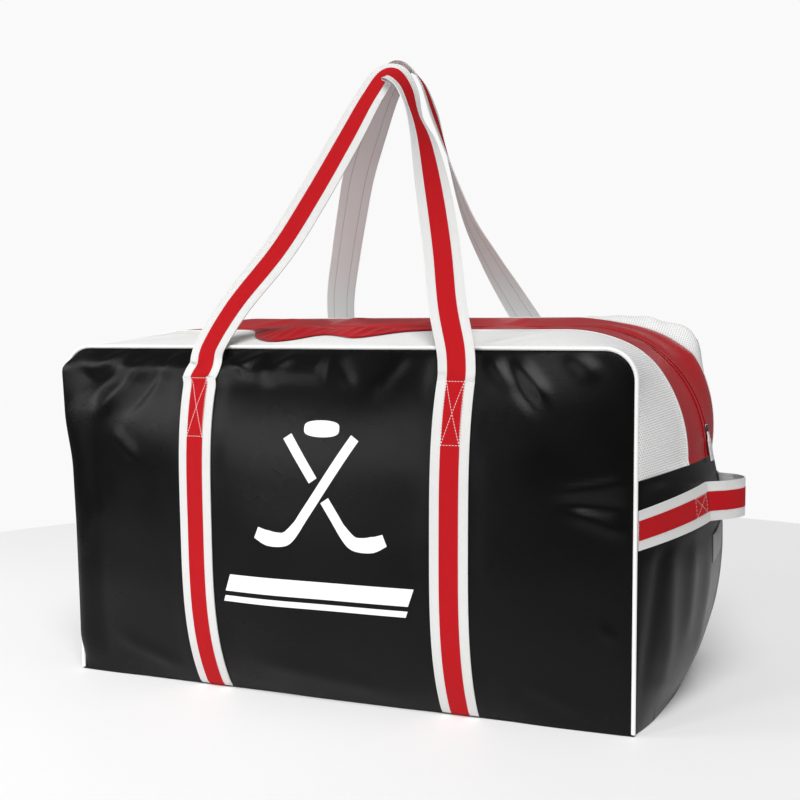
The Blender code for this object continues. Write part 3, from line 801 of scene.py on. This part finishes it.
def make_shell(looks):
    black = looks["black_vinyl"]
    face_panel("front_panel_cloth", FRONT, black, "front_panel")
    face_panel("back_panel_cloth", BACK, black, "back_panel")
    edge = 1 - SEAM_INSET / HALF_WIDTH
    v = [-edge, -edge + 0.008, -edge + 0.02, *np.linspace(-0.955, 0.955, 89)]
    v += [edge - 0.02, edge - 0.008, edge]
    for side, hand in ((-1, "left"), (1, "right")):
        q = side * np.concatenate([np.linspace(2.0, 2.98, 66), [2.993, 3.006, 3.018, 3.0285]])[:, None]
        cloth = gusset_strip(f"end_panel_cloth_{hand}", END, q, v, 0.0, -0.0022, black)
        strapped(cloth, f"end_panel_{hand}")
    make_base(black)
    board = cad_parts["base_board"]
    board.data.materials.clear()
    board.data.materials.append(looks["board"])


def strap_line(side, y):
    share = (y + HALF_WIDTH) / (2 * HALF_WIDTH)
    return FRONT_STRAPS[side] + share * (BACK_STRAPS[side] - FRONT_STRAPS[side])


def make_base(look):
    """The underside, flat on the floor and pressed up over the webbing."""
    y = np.linspace(-HALF_WIDTH - 0.0004, HALF_WIDTH + 0.0004, 93)
    share = np.linspace(-1, 1, 221)
    half = HALF_LENGTH + 0.016 * (1 - np.minimum(1, np.abs(y) / HALF_WIDTH) ** 2.4)
    x = half[:, None] * share[None, :]
    y = np.broadcast_to(y[:, None], x.shape)
    away = np.minimum(np.abs(x - strap_line(0, y)), np.abs(x - strap_line(1, y)))
    z = FLOOR_GAP + 0.0020 * (1 - smooth_step(away, 0.027, 0.034))
    places = np.stack([x, y, z], axis=-1)
    out = np.broadcast_to(np.array([0.0, 0.0, -1.0]), places.shape)
    strapped(skin("base_cloth", places, out, 0.0, -0.0022, look, (x, y)), "base_panel")


def make_top(looks):
    edge = 1 - SEAM_INSET / HALF_WIDTH
    end = np.linspace(1, 2, 73)
    q = np.concatenate([np.linspace(-2, -1, 73), np.linspace(-1, 1, 145)[1:-1], end])[:, None]
    for side, name in ((-1, "front"), (1, "back")):
        v = side * np.linspace(BAND_V + 0.0006, edge, 31)
        cloth = gusset_strip(f"mesh_cloth_{name}", TOP, q, v, 0.0, -0.0012, looks["white_mesh"])
        strapped(cloth, f"mesh_{name}")
        rim = side * (BAND_V + np.array([-0.0010, 0.0, 0.006, 0.013, 0.014]))
        trim = gusset_strip(f"mesh_binding_{name}", TOP, q, rim, 0.0011, 0.0002, looks["white_cord"])
        strapped(trim)
    turn = np.array(arc(HALF_LENGTH - CORNER, TOP_EDGE - CORNER, CORNER, 0, 90, 17))
    count = 60
    x = np.concatenate([np.full(count, HALF_LENGTH), turn[:, 0], np.linspace(0.365, 0.0, count)])
    z = np.concatenate([np.linspace(0.0035, 0.435, count), turn[:, 1], np.full(count, TOP_EDGE)])
    x, z = np.concatenate([x, -x[-2::-1]]), np.concatenate([z, z[-2::-1]])
    for side, name in ((-1, "front"), (1, "back")):
        y = np.full(len(x), side * HALF_WIDTH)
        line = filled_out(np.stack([flared(x, z, y), y, z], axis=1))
        cord = round_cord(f"{name}_piping_cord", line, 0.0028, looks["white_cord"])
        strapped(cord, f"{name}_piping")


def round_cord(name, line, radius, look, sides=14):
    along = np.gradient(line, axis=0)
    along /= np.linalg.norm(along, axis=1)[:, None]
    first = np.cross(along, np.array([0.0, 1.0, 0.0]))
    first /= np.linalg.norm(first, axis=1)[:, None]
    second = np.cross(along, first)
    turns = np.linspace(0, 2 * math.pi, sides, endpoint=False)
    rings = [line + radius * (first * math.cos(a) + second * math.sin(a)) for a in turns]
    points = np.stack(rings, axis=1)
    index = np.arange(points.shape[0] * sides).reshape(-1, sides)
    after = np.roll(index, -1, axis=1)
    faces = np.stack([index[:-1], after[:-1], after[1:], index[1:]], axis=-1).reshape(-1, 4).tolist()
    faces += [index[0][::-1].tolist(), index[-1].tolist()]
    run = np.concatenate([[0.0], np.cumsum(np.linalg.norm(np.diff(line, axis=0), axis=1))])
    uv = np.stack(np.broadcast_arrays(turns[None, :] * radius, run[:, None]), axis=-1)
    return mesh_piece(name, points.reshape(-1, 3), faces, look, uv.reshape(-1, 2))


# --- Zip band: two flaps along the top, their ends down the bag's ends ---


def make_band(looks, tree):
    for side, name in ((-1, "front"), (1, "back")):
        for hand, word in ((-1, "left"), (1, "right")):
            tag = f"{name}_{word}"
            q = hand * np.concatenate([np.linspace(0, 1, 73)[:-1], np.linspace(1, 2, 73)])
            zip_edge = np.interp(np.abs(q), [0.85, 1.1], [0.0030, 0.0056]) / HALF_WIDTH

            def strip(part, v, outer, inner, look, side=side, q=q, tag=tag):
                return gusset_strip(f"{part}_{tag}", TOP, q[:, None], side * v, outer, inner, looks[look])

            def path(v, lift, side=side, q=q):
                away = facing(TOP, q, side * v)
                return [(TOP(q, side * v) + away * lift, away)]

            start = zip_edge[:, None]
            share = np.linspace(0, 1, 27)
            hem_v = start + np.array([0.0, 0.006, 0.0115, 0.012]) / HALF_WIDTH
            tape_v = np.array([0.0015, 0.006, 0.0105, 0.015]) / HALF_WIDTH
            coil_v = np.full(len(q), 0.00140 / HALF_WIDTH)
            seam_v = zip_edge + 0.0098 / HALF_WIDTH
            band_v = start + (BAND_V - 0.0012 - start) * share
            band = strip("red_band", band_v, 0.0, -0.0016, "red_vinyl")
            hem = strip("zip_hem", hem_v, 0.0011, 0.0002, "red_vinyl")
            tape = strip("zip_tape", tape_v, -0.0024, -0.0034, "zip_tape")
            coil, size = path(coil_v, -0.0026), (0.0014, 0.0025, 0.0016)
            teeth = sewn(f"zip_coil_{tag}", looks, tree, coil, False, "black_coil", 0.0021, size)
            stitch = sewn(f"zip_stitch_{tag}", looks, tree, path(seam_v, 0.0013), False, "red_thread")
            for piece in (band, hem, tape, teeth, stitch):
                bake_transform(piece)
            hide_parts(f"red_{tag}", f"red_{name}_flap")
            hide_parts(f"zip_{tag}", f"zip_{name}_flap")


# How far the margin reaches over the mesh (second row, a share of HALF_WIDTH), at each x of the first row.
MARGIN_X = [-0.200, -0.175, -0.135, -0.100, -0.065, -0.040, -0.010, 0.015, 0.045, 0.070, 0.095, 0.130]
MARGIN_V = [0.0, 0.03, 0.34, 0.43, 0.39, 0.26, 0.31, 0.37, 0.26, 0.10, 0.05, 0.0]


def make_margin(looks):
    """The band's slack front margin, fallen in folds over the mesh between the handles."""
    x = np.linspace(-0.200, 0.130, 200)
    reach = np.interp(x, MARGIN_X, MARGIN_V)
    reach = np.convolve(np.pad(reach, 8, mode="edge"), np.ones(17) / 17, mode="valid")
    share = np.linspace(0, 1, 18)
    v = -(BAND_V + reach[:, None] * share)
    q = np.broadcast_to(x[:, None] / FLAP_END, v.shape)
    wander = (x[:, None] + 0.012 * share) * 2 * math.pi
    folds = 0.5 + 0.5 * np.sin(wander / 0.047 + 1.0) * np.sin(wander / 0.031)
    lift = folds * np.sin(math.pi * share) * reach[:, None] * 0.018
    out = facing(TOP, q, v)
    places = TOP(q, v) + out * (0.0016 + lift)[..., None]
    lay = (v * HALF_WIDTH, run_length(q))
    strapped(skin("red_band_margin", places, out, 0.0016, 0.0, looks["red_vinyl"], lay), ())


# --- Webbing ---


def webbing(name, places, look, low, high, out):
    columns = places.shape[1]
    width = np.linalg.norm(places[0, -1] - places[0, 0])
    u = np.linspace(-width / 2, width / 2, columns)
    return skin(name, places, out, high, low, look, (u, lengths(places)[:, None]))


def striped_webbing(white, red, grid, looks):
    """White webbing with a red stripe on it. grid gives places and facings for shares of its half width."""
    pieces, grids = [], []
    for name, look, shares, low in (
        (white, "white_webbing", np.linspace(-1, 1, 9), -STRAP_TOP),
        (red, "red_webbing", np.linspace(-0.5, 0.5, 5), STRAP_TOP - 0.0004),
    ):
        places, out = grid(shares)
        high = STRAP_TOP if name == white else STRIPE_TOP
        pieces.append(webbing(name, places, looks[look], low, high, out))
        grids.append((places, out))
    return *pieces, *grids[0]


def run_under(side, shares):
    """Sewn webbing as a grid: up from the front box stitch, down, under the base and up the back."""
    offsets = shares * WEBBING / 2
    z = np.linspace(SEW_TOP, 0.0095, 100)
    x, zz = np.meshgrid(FRONT_STRAPS[side] + offsets, z)
    first = FRONT(x, zz) + facing(FRONT, x, zz) * STRAP_MID
    x, zz = np.meshgrid(-(BACK_STRAPS[side] + offsets), z[::-1])
    last = BACK(x, zz) + facing(BACK, x, zz) * STRAP_MID
    y = [-0.2318, -0.2285, *np.linspace(-0.222, 0.222, 75), 0.2285, 0.2318]
    z = [0.0034, 0.0019, *np.full(75, 0.0016), 0.0019, 0.0034]
    flat = 0 * offsets
    middle = [np.stack([strap_line(side, b) + offsets, flat + b, flat + c], -1) for b, c in zip(y, z)]
    places = np.concatenate([first, np.array(middle), last])
    out = grid_normals(places)
    return places, -out if out[0, 0, 1] > 0 else out


def box_stitch(centre_of, half_wide, half_long):
    """The crossed box: four sides and the two diagonals, on a surface of (across, along)."""
    corners = [np.array([a * half_wide, b * half_long]) for a, b in ((-1, -1), (1, -1), (1, 1), (-1, 1))]
    share = np.linspace(0, 1, 25)[:, None]
    paths = []
    for i, k in ((0, 1), (1, 2), (2, 3), (3, 0), (0, 2), (1, 3)):
        line = corners[i] + (corners[k] - corners[i]) * share
        paths.append(centre_of(line[:, 0], line[:, 1]))
    return paths


def make_straps(looks, tree):
    for side, hand in ((0, "left"), (1, "right")):

        def across(shares, side=side):
            return run_under(side, shares)

        names = [f"strap_webbing_{hand}", f"strap_stripe_{hand}"]
        white, red, places, out = striped_webbing(*names, across, looks)
        parts = [f"{part}_{hand}" for part in ("front", "base", "back")]
        strapped(white, [f"strap_{part}" for part in parts])
        strapped(red, [f"stripe_{part}" for part in parts])
        sewn(f"strap_stitches_{hand}", looks, tree, edge_rows(places, out))
    boxes = []
    for surface, places, flip in ((FRONT, FRONT_STRAPS, 1), (BACK, BACK_STRAPS, -1)):
        for middle in places:

            def on_strap(across, along, surface=surface, middle=middle, flip=flip):
                x, z = flip * middle + across, 0.3975 + along
                away = facing(surface, x, z)
                return surface(x, z) + away * (STRAP_MID + STRIPE_TOP + THREAD_LIFT), away

            boxes += box_stitch(on_strap, 0.0120, 0.0395)
    sewn("box_stitches", looks, tree, boxes, pitch=0.0038, size=(0.0030, 0.0011, 0.0008))


# Each handle's centreline from root to root: its place in millimetres and the way its outer face looks.
FRONT_KEYS = [
    (-184, -251.5, 454, 0, -0.93, 0.37), (-182, -240.5, 482, 0, -0.9, 0.42),
    (-160, -208, 540, 0.1, -0.88, 0.45), (-113, -166, 618, 0.15, -0.9, 0.4),
    (-79, -124, 698, 0.15, -0.9, 0.4), (-49, -80, 781, 0.1, -0.88, 0.45),
    (-26, -44, 848, 0, -0.8, 0.6), (-2, -29, 884, 0.2, -0.65, 0.75),
    (28, -40, 862, 0.75, -0.35, 0.55), (50, -60, 820, 0.93, -0.15, 0.3),
    (76, -85, 773, 0.85, -0.45, 0.3), (108, -128, 689, 0.55, -0.8, 0.35),
    (135, -170, 611, 0.3, -0.85, 0.4), (158, -212, 536, 0.1, -0.88, 0.45),
    (179, -240.5, 482, 0, -0.9, 0.42), (185, -251.5, 454, 0, -0.93, 0.37),
]
BACK_KEYS = [
    (-200, 251.5, 454, 0, 0.93, 0.37), (-201, 240.5, 482, 0, 0.9, 0.42),
    (-188, 202, 556, 0, 0.9, 0.4), (-160, 163, 630, 0, 0.9, 0.4),
    (-134, 131, 694, -0.1, 0.9, 0.4), (-107, 100, 755, -0.3, 0.85, 0.4),
    (-73, 71, 814, -0.5, 0.7, 0.5), (-37, 46, 872, -0.4, 0.4, 0.8),
    (-4, 36, 906, 0.2, 0.2, 0.95), (22, 42, 884, 0.8, 0.1, 0.6),
    (36, 60, 838, 0.95, 0.05, 0.3), (47, 84, 785, 0.95, 0.25, 0.3),
    (66, 134, 687, 0.75, 0.6, 0.35), (92, 168, 620, 0.5, 0.8, 0.4),
    (122, 203, 556, 0.2, 0.88, 0.45), (160, 240.5, 482, 0, 0.9, 0.42),
    (170, 251.5, 454, 0, 0.93, 0.37),
]


def handle_run(keys, surface, places, flip):
    """The handle's centreline and facing, rooted on the panel at the top of the box stitches."""
    roots = []
    for x in places:
        x, z = np.array(flip * x), np.array(SEW_TOP)
        away = facing(surface, x, z)
        roots.append((*(surface(x, z) + away * STRAP_MID), *away))
    keys = [np.array(key) / (1000, 1000, 1000, 1, 1, 1) for key in keys]
    run = spline([roots[0]] + keys + [roots[1]], 240)
    centre, out = run[:, :3], run[:, 3:]
    along = np.gradient(centre, axis=0)
    along /= np.linalg.norm(along, axis=1)[:, None]
    out = out - (out * along).sum(axis=1)[:, None] * along
    out /= np.linalg.norm(out, axis=1)[:, None]
    side = np.cross(along, out)
    side[0], side[-1] = side[1], side[-2]
    steps = np.arange(len(side))  # The webbing lies level across the panel at its roots.
    hold = np.clip(1 - np.minimum(steps, steps[::-1]) / 9, 0, 1)[:, None]
    side += (np.sign(side[:, :1]) * np.array([1.0, 0.0, 0.0]) - side) * hold
    return centre, out, side / np.linalg.norm(side, axis=1)[:, None]


def make_handles(looks, tree):
    for name, keys, surface, roots, flip in (
        ("front", FRONT_KEYS, FRONT, FRONT_STRAPS, 1),
        ("back", BACK_KEYS, BACK, BACK_STRAPS, -1),
    ):
        centre, out, side = handle_run(keys, surface, roots, flip)

        def across(shares, centre=centre, out=out, side=side):
            places = centre[:, None] + side[:, None] * (shares * WEBBING / 2)[None, :, None]
            return places, np.broadcast_to(out[:, None], places.shape)

        handle = f"{name}_handle"
        white, red, places, away = striped_webbing(f"{handle}_webbing", f"{handle}_stripe", across, looks)
        rows = sewn(f"{handle}_stitches", looks, tree, edge_rows(places, away), False)
        under = [row_beside(places, -away, share) for share in (0.26, 0.74)]
        size = (0.0033, 0.0012, 0.0007)
        # The inner rows' thread is painted grey: painted shade of the handles' inner faces.
        inner = sewn(f"{handle}_inner_stitches", looks, tree, under, False, "shade_grey_thread", 0.0045, size)
        for piece in (white, red, rows, inner):
            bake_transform(piece)
        for piece, node, slot in ((white, handle, "white"), (red, f"{handle}_stripe", "red")):
            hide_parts(node)


# --- Grab handles on the ends ---


def grab_line(v):
    """The height of the grab webbing's middle, which dips towards the seams."""
    return GRAB_Z + GRAB_RISE * (1 - v * v)


def run_at(height):
    """The right end's q at a height below the seam."""
    return 2 + (SEAM_EDGE + 0.011 - height) / (SEAM_EDGE - 0.004)


def grab_surface(side, y, h):
    v = y / HALF_WIDTH
    return gusset(side * run_at(grab_line(v) + h), v)


def stand(y):
    """How far the webbing stands off the end panel."""
    share = np.clip((0.062 - np.abs(y)) / (0.062 - GRAB_ROOT), 0, 1)
    near = 0.018 * (0.6 * share + 0.4 * share * share)
    return np.where(np.abs(y) < GRAB_ROOT, 0.018 + 0.020 * (1 - (y / GRAB_ROOT) ** 2), near)


def grab_grid(side, y, shares):
    yy, hh = np.meshgrid(y, shares * WEBBING / 2, indexing="ij")
    places = grab_surface(side, yy, hh)
    root = grab_surface(side, np.array(GRAB_ROOT), np.array(0.0))[0]
    free = smooth_step(-np.abs(yy), -0.062, -GRAB_ROOT)
    places[..., 0] = places[..., 0] * (1 - free) + root * free + side * (stand(yy) + 0.0017)
    out = grid_normals(places)
    return places, np.where((out[..., :1] * side) > 0, out, -out)


def make_grabs(looks, tree):
    for side, hand in ((-1, "left"), (1, "right")):
        for half, part in ((-1, "front"), (1, "back")):
            tag = f"{hand}_{part}"
            y = half * np.concatenate([np.linspace(0.2275, 0.068, 54), np.linspace(0.066, 0.0, 45)])

            def across(shares, side=side, y=y):
                return grab_grid(side, y, shares)

            names = [f"grab_webbing_{tag}", f"grab_stripe_cloth_{tag}"]
            white, red, places, out = striped_webbing(*names, across, looks)

            def on_grab(across, along, side=side, half=half):
                yy = half * (0.094 + along)
                spots = np.stack([grab_surface(side, a, b) for a, b in zip(yy, across)])
                away = np.array([side, 0.0, 0.0])
                return spots + away * (0.0017 + STRIPE_TOP + THREAD_LIFT), away

            rows = edge_rows(places, out) + box_stitch(on_grab, 0.0120, 0.0200)
            thread = sewn(f"grab_stitches_{tag}", looks, tree, rows, False)
            for piece in (white, red, thread):
                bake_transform(piece)
            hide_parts(f"grab_{tag}", f"grab_{hand}_loop")
            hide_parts(f"grab_stripe_{tag}", f"grab_stripe_{hand}_loop")


# --- Sliders, pulls and label ---


def rounded(obj, width):
    modifier = obj.modifiers.new("soft_edges", "BEVEL")
    modifier.width = width
    modifier.segments = 2
    modifier.limit_method = "ANGLE"
    modifier.angle_limit = math.radians(30)
    made, old = as_made(obj), obj.data
    obj.modifiers.clear()
    obj.data = made
    bpy.data.meshes.remove(old)
    return obj


def prism(name, outline, depth, axes, origin, look):
    """An outline in the plane of axes 0 and 1, given depth both ways along axis 2."""
    flat = np.array(outline)
    count = len(flat)
    points = [origin + flat @ axes[:2] + axes[2] * k for k in (-depth, depth)]
    faces = [list(range(count - 1, -1, -1)), list(range(count, 2 * count))]
    faces += [[i, (i + 1) % count, count + (i + 1) % count, count + i] for i in range(count)]
    uv = np.concatenate([flat, flat])
    return mesh_piece(name, np.concatenate(points), faces, look, uv, 30)


def make_sliders(looks):
    tilt = math.radians(9.5)
    for side, hand in ((-1, "left"), (1, "right")):
        radial = np.array([side * math.cos(tilt), 0.0, math.sin(tilt)])
        across = np.array([0.0, 1.0, 0.0])
        down = np.array([side * math.sin(tilt), 0.0, -math.cos(tilt)])
        centre = np.array([side * ARCH_X, 0.0, ARCH_Z]) + radial * ARCH_RADIUS
        axes = np.array([across, radial, down])
        outline = [(-0.0048, -0.0020), (-0.0010, -0.0020), (-0.0010, -0.0046)]
        outline += [(-0.0048, -0.0046), (-0.0048, -0.0064)]
        outline = outline + [(-x, y) for x, y in reversed(outline)]
        outline += [(0.0048, 0.0008), (0.0014, 0.0012), (0.0014, 0.0048)]
        outline += [(-0.0014, 0.0048), (-0.0014, 0.0012), (-0.0048, 0.0008)]
        slider = prism(f"slider_body_{hand}", outline, 0.0073, axes, centre, looks["zip_metal"])
        strapped(rounded(slider, 0.0006), f"zip_slider_{hand}", f"slider_{hand}")
        start = centre + radial * 0.0036 + down * 0.0050
        axes = np.array([across, down, radial])
        tab = [(0.0018, -0.002), (0.0042, -0.002), (0.0052, 0.006), (0.0102, 0.0095), (0.0102, 0.0385)]
        tab = tab + [(-x, y) for x, y in reversed(tab)]
        tab += [(-0.0018, 0.0045), (0.0018, 0.0045)]
        pull = prism(f"pull_webbing_{hand}", tab, 0.0010, axes, start, looks["white_webbing"])
        strapped(rounded(pull, 0.0004), f"zip_pull_{hand}", f"pull_{hand}")


def make_label(looks):
    y, h = np.meshgrid(np.linspace(-0.040, 0.034, 25), np.linspace(-0.078, -0.042, 13), indexing="ij")
    v = y / HALF_WIDTH
    q = run_at(grab_line(v) + h + 0.12 * y)
    patch = skin("label_patch", END(q, v), facing(END, q, v), 0.0016, 0.0003, looks["grey_label"], (y, h))
    strapped(patch, "end_label")


# --- Printed emblem: two crossed sticks, a puck and two plain bars ---


def print_strip(name, centre, half_widths, slant, looks):
    """A printed strip on the front panel along centre points of (x, z), its ends cut along slant."""
    along = np.gradient(centre, axis=0)
    along /= np.linalg.norm(along, axis=1)[:, None]
    square = np.stack([-along[:, 1], along[:, 0]], axis=1)
    across = square if slant is None else np.broadcast_to(slant, along.shape)
    shares = np.linspace(-1, 1, 7)
    flat = centre[:, None] + across[:, None] * half_widths[:, None, None] * shares[None, :, None]
    x, z = flat[..., 0], flat[..., 1]
    piece = skin(name, FRONT(x, z), facing(FRONT, x, z), 0.0006, 0.0001, looks["white_print"], (x, z))
    return strapped(piece)


def make_emblem(looks):
    middle = np.array([0.007, 0.292])
    lean = math.radians(56)
    count = 113
    blade = ((0.010, -0.009), (0.024, -0.012), (0.040, -0.010), (0.055, -0.004))
    whole = [("stick", slice(0, count))]
    gapped = [("stick_top", slice(0, 22)), ("stick_foot", slice(31, count))]
    for side, name, parts in ((1, "first", whole), (-1, "second", gapped)):
        direction = np.array([side * math.cos(lean), math.sin(lean)])
        foot = middle - direction * 0.066
        tip = foot + direction * 0.152
        keys = [tip + (foot - tip) * share for share in (0.0, 0.3, 0.6, 0.82, 0.95)]
        line = spline(keys + [foot + np.array([-side * a, b]) for a, b in blade], count)
        half = np.interp(np.arange(count), [0, 52, 70, 96, 112], [0.0066, 0.0066, 0.0088, 0.0104, 0.0080])
        for part, span in parts:
            print_strip(f"emblem_{name}_{part}", line[span], half[span], None, looks)
    turn = np.linspace(0.02, math.pi - 0.02, 40)
    line = np.stack([middle[0] + 0.025 * -np.cos(turn), np.full(40, middle[1] + 0.082)], axis=1)
    print_strip("emblem_puck", line, 0.0110 * np.sin(turn) ** 0.55, (0.0, 1.0), looks)
    bars = (("wide", -0.132, 0.134, 0.161, 0.0115), ("narrow", -0.138, 0.128, 0.139, 0.0040))
    for name, x0, x1, z, half in bars:
        line = np.stack([np.linspace(x0, x1, 90), np.full(90, z)], axis=1)
        print_strip(f"emblem_bar_{name}", line, np.full(90, half), (0.35, 1.0), looks)


# --- All of it ---

set_up_camera()
set_up_studio()
looks = make_looks()
lay_floor()
sewing = make_sewing_tree()
make_shell(looks)
make_top(looks)
make_band(looks, sewing)
make_margin(looks)
make_straps(looks, sewing)
make_handles(looks, sewing)
make_grabs(looks, sewing)
make_sliders(looks)
make_label(looks)
make_emblem(looks)

bpy.context.view_layer.update()
